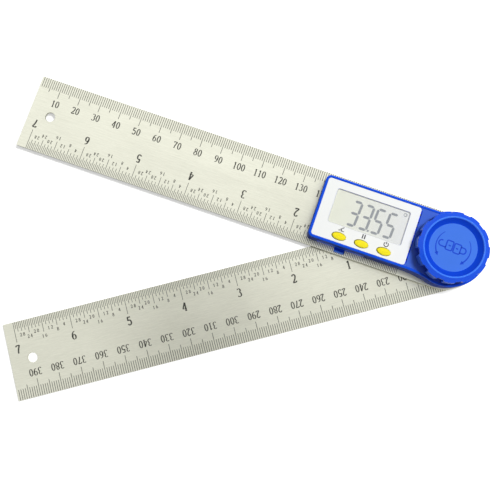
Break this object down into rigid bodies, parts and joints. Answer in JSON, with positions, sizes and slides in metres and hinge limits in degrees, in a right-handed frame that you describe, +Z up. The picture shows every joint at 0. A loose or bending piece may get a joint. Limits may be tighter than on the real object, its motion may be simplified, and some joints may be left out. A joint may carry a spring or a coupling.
{
  "type": "angle finder with arms",
  "caption": "Digital angle finder: steel rules hinged on a pivot, a display housing with keys and battery tray on the upper rule, and a knob that locks the angle.",
  "frame": {"origin": "on the pivot axis, at the underside of the lower rule, which is the face the tool lies on", "axes": "+Z up along the pivot axis, -X along the upper rule towards its square end, +Y towards the upper rule's millimetre edge"},
  "size_m": [0.2173, 0.1421, 0.0187],
  "materials": {
    "rule_steel": "fine lengthwise brushed, etched scales",
    "housing_blue": "semi-gloss moulded",
    "knob_blue": "semi-gloss moulded",
    "label_white": "satin",
    "key_yellow": "satin, slightly soft",
    "lens_clear": "clear",
    "display_glass": "smooth",
    "board_green": "solder mask",
    "resin_black": "cast",
    "frame_white": "moulded",
    "strip_grey": "matt",
    "nylon_white": "moulded",
    "turned_steel": "turned",
    "screw_steel": "plated",
    "spring_steel": "rolled",
    "cell_nickel": "plated",
    "bush_bronze": "turned",
    "insert_brass": "turned"
  },
  "bodies": {
    "upper_arm": {"upper_rule": "rule_steel", "housing_shell": "housing_blue", "front_label": "label_white", "lcd_lens": "lens_clear", "lcd_glass": "display_glass", "lcd_frame": "frame_white", "contact_strip": "strip_grey", "circuit_board": "board_green", "chip_cover": "resin_black", "switch_left": "spring_steel", "switch_middle": "spring_steel", "switch_right": "spring_steel", "contact_top": "spring_steel", "contact_side": "spring_steel", "pivot_bush": "bush_bronze", "housing_screw_1": "screw_steel", "housing_screw_2": "screw_steel", "housing_screw_3": "screw_steel", "housing_screw_4": "screw_steel", "board_screw_1": "screw_steel", "board_screw_2": "screw_steel", "board_screw_3": "screw_steel"},
    "lower_arm": {"lower_rule": "rule_steel", "pivot_hub": "turned_steel", "rotor_disc": "board_green", "retaining_clip": "spring_steel", "spacer_washer": "nylon_white", "hub_screw_1": "screw_steel", "hub_screw_2": "screw_steel", "hub_screw_3": "screw_steel"},
    "knob_lifter": {"pressure_washer": "spring_steel"},
    "knob": {"lock_knob": "knob_blue", "knob_insert": "insert_brass"},
    "button_left": {"button_left": "key_yellow"},
    "button_middle": {"button_middle": "key_yellow"},
    "button_right": {"button_right": "key_yellow"},
    "tray": {"battery_tray": "housing_blue", "coin_cell": "cell_nickel"}
  },
  "joints": [
    {"name": "arm_hinge", "type": "hinge", "parent": "upper_arm", "child": "lower_arm", "pos_m": [0, 0, 0], "axis": [0, 0, 1], "continuous": true},
    {"name": "knob_lift", "type": "slide", "parent": "upper_arm", "child": "knob_lifter", "axis": [0, 0, 1], "range_m": [0, 0.0004]},
    {"name": "knob_turn", "type": "hinge", "parent": "knob_lifter", "child": "knob", "pos_m": [0, 0, 0.0121], "axis": [0, 0, 1], "range_deg": [0, 180]},
    {"name": "button_left_press", "type": "slide", "parent": "upper_arm", "child": "button_left", "axis": [0, 0, -1], "range_m": [0, 0.0003], "stiffness_N_per_m": 1500},
    {"name": "button_middle_press", "type": "slide", "parent": "upper_arm", "child": "button_middle", "axis": [0, 0, -1], "range_m": [0, 0.0003], "stiffness_N_per_m": 1500},
    {"name": "button_right_press", "type": "slide", "parent": "upper_arm", "child": "button_right", "axis": [0, 0, -1], "range_m": [0, 0.0003], "stiffness_N_per_m": 1500},
    {"name": "tray_slide", "type": "slide", "parent": "upper_arm", "child": "tray", "axis": [0, -1, 0], "range_m": [0, 0.018]}
  ],
  "couplings": [
    {"joint": "knob_turn", "follows": "knob_lift", "rad_per_m": 7854}
  ]
}
